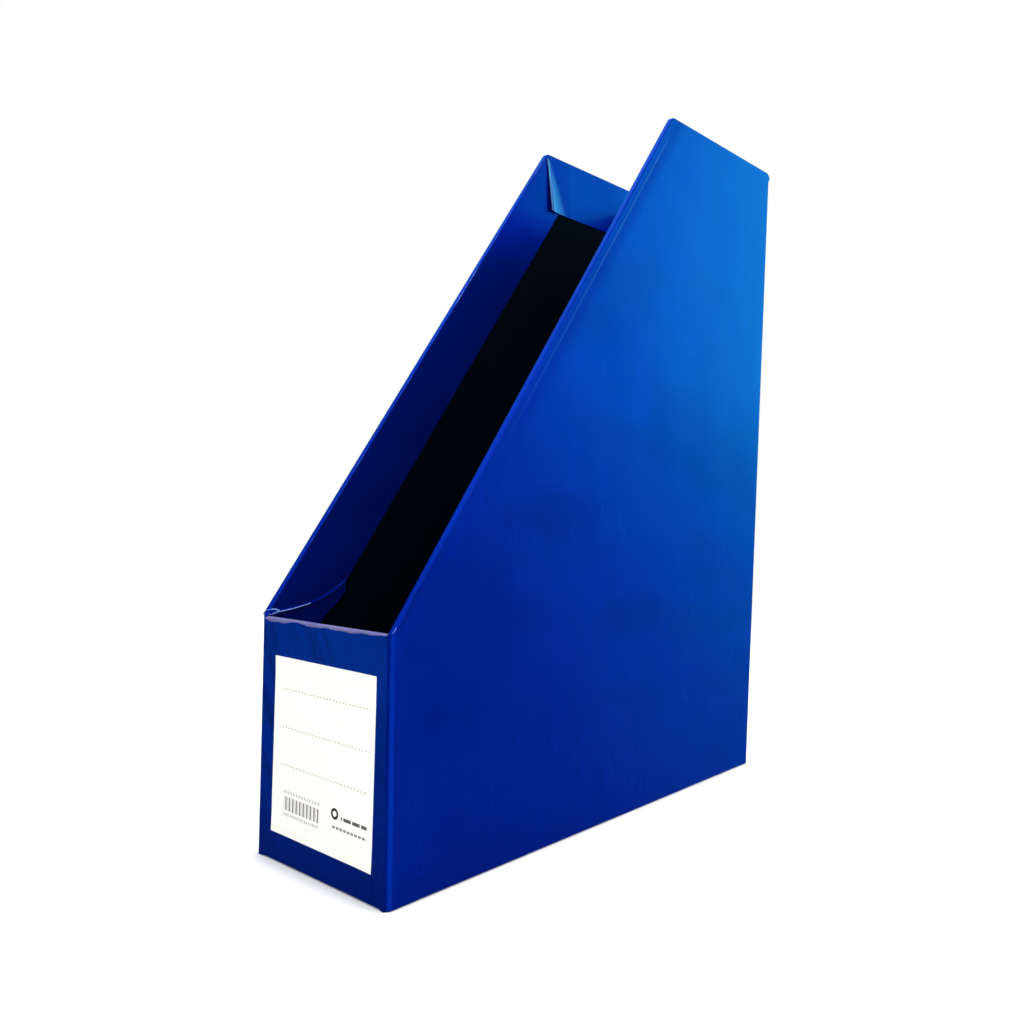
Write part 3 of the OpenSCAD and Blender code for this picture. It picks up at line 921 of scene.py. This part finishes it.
def soft_lamp(name, place, aim, width, height, glow):
    """A soft box: an area lamp of the given brightness, facing a point."""
    lamp = bpy.data.lights.new(name, "AREA")
    lamp.shape = "RECTANGLE"
    lamp.size, lamp.size_y = width, height
    lamp.energy = glow * pi * width * height
    holder = bpy.data.objects.new(name, lamp)
    bpy.context.scene.collection.objects.link(holder)
    holder.visible_glossy = False
    facing = (Vector(aim) - Vector(place)).to_track_quat("-Z", "Y")
    holder.matrix_world = Matrix.Translation(place) @ facing.to_matrix().to_4x4()


middle = (0, 0, 0.16)
soft_lamp("back_soft_box", (0.75, 1.25, 0.80), middle, 1.2, 1.3, 3.0)
soft_lamp("overhead_soft_box", (0.0, 0.1, 1.6), middle, 1.6, 1.6, 5.0)
soft_lamp("front_soft_box", (0.7, -1.7, 1.3), middle, 1.2, 1.2, 3.0)
soft_lamp("right_soft_box", (1.3, 0.1, 1.1), middle, 0.9, 0.9, 3.0)

lens = bpy.data.cameras.new("camera")
lens.lens = 32.842
lens.shift_x, lens.shift_y = 0.00453, 0.04185
lens.clip_start = 0.01
camera = bpy.data.objects.new("camera", lens)
bpy.context.scene.collection.objects.link(camera)
camera.matrix_world = (Matrix.Translation((0.27346, -0.33675, 0.14374))
                       @ Matrix.Rotation(radians(41.66), 4, "Z")
                       @ Matrix.Rotation(radians(90 - 3.625), 4, "X")
                       @ Matrix.Rotation(radians(1.256), 4, "Z"))
bpy.context.scene.camera = camera

world = bpy.data.worlds.new("studio")
bpy.context.scene.world = world
world.use_nodes = True
tree = world.node_tree
seen = tree.nodes["Background"]
seen.inputs["Color"].default_value = (1, 1, 1, 1)
path = put(tree, "ShaderNodeLightPath")
way = put(tree, "ShaderNodeTexCoord").outputs["Generated"]


def wall_glow(towards, stops):
    """Light on the studio walls that fades from one direction, as (cosine, colour) stops."""
    share = put(tree, "ShaderNodeVectorMath", {"operation": "DOT_PRODUCT"}, i0=way,
                i1=Vector(towards).normalized()).outputs["Value"]
    ramp = put(tree, "ShaderNodeValToRGB", i0=put(
        tree, "ShaderNodeMapRange", Value=share, From_Min=0.5, From_Max=1.0).outputs[0])
    ramp.color_ramp.interpolation = "EASE"
    for count, (cosine, colour) in enumerate(stops):
        stop = (ramp.color_ramp.elements[count] if count < 2
                else ramp.color_ramp.elements.new(1.0))
        stop.position, stop.color = (cosine - 0.5) * 2, (*colour, 1)
    return ramp.outputs["Color"]


def add_light(first, second):
    """Two lights together."""
    return put(tree, "ShaderNodeVectorMath", {"operation": "ADD"}, i0=first, i1=second).outputs[0]


right_back = wall_glow((0.38, 0.89, 0.25), (
    (0.50, (0.00, 0.00, 0.00)), (0.80, (0.00, 0.00, 0.00)), (0.88, (0.00, 0.04, 0.04)),
    (0.94, (0.00, 0.38, 0.30)), (0.97, (0.00, 0.93, 0.60)), (0.99, (0.05, 1.85, 1.02))))
left_back = wall_glow((-0.60, 0.70, 0.40), (
    (0.50, (0.00, 0.00, 0.00)), (0.75, (0.02, 0.06, 0.10)), (0.99, (0.2, 1.2, 0.8))))
ceiling = wall_glow((-0.15, -0.10, 1.0), (
    (0.50, (0.00, 0.00, 0.00)), (0.70, (0.02, 0.20, 0.35)), (0.98, (0.2, 0.9, 0.9))))
right = wall_glow((0.86, 0.40, 0.31), (
    (0.955, (0.00, 0.00, 0.00)), (0.975, (0.10, 0.30, 0.35)), (0.993, (1.4, 1.5, 1.9))))
right_low = wall_glow((0.93, -0.35, -0.29), (
    (0.50, (0.00, 0.00, 0.00)), (0.62, (0.00, 0.20, 0.20)), (0.85, (0.0, 0.50, 0.42))))
front_left = wall_glow((-0.72, -0.64, -0.12), (
    (0.955, (0.00, 0.00, 0.00)), (0.985, (0.00, 0.05, 0.06)), (0.997, (0.0, 0.40, 0.36))))
right_floor = wall_glow((0.46, 0.86, -0.20), (
    (0.95, (0.00, 0.00, 0.00)), (0.985, (0.00, 0.05, 0.07)), (0.999, (0.00, 0.22, 0.26))))
walls = (0.01, 0.02, 0.06)                             # the dim studio between the lights
for lobe in (right_back, left_back, ceiling, right, right_low, right_floor, front_left):
    walls = add_light(walls, lobe)
mirrored = put(tree, "ShaderNodeBackground", Strength=1.0, Color=walls)
glow = put(tree, "ShaderNodeBackground", Strength=0.35, Color=(1, 1, 1, 1))
soft = put(tree, "ShaderNodeMixShader", i0=path.outputs["Is Glossy Ray"], i1=glow.outputs[0],
           i2=mirrored.outputs[0])
both = put(tree, "ShaderNodeMixShader", i0=path.outputs["Is Camera Ray"], i1=soft.outputs[0],
           i2=seen.outputs[0])
tree.links.new(both.outputs[0], tree.nodes["World Output"].inputs["Surface"])
bpy.context.scene.view_settings.view_transform = "Standard"
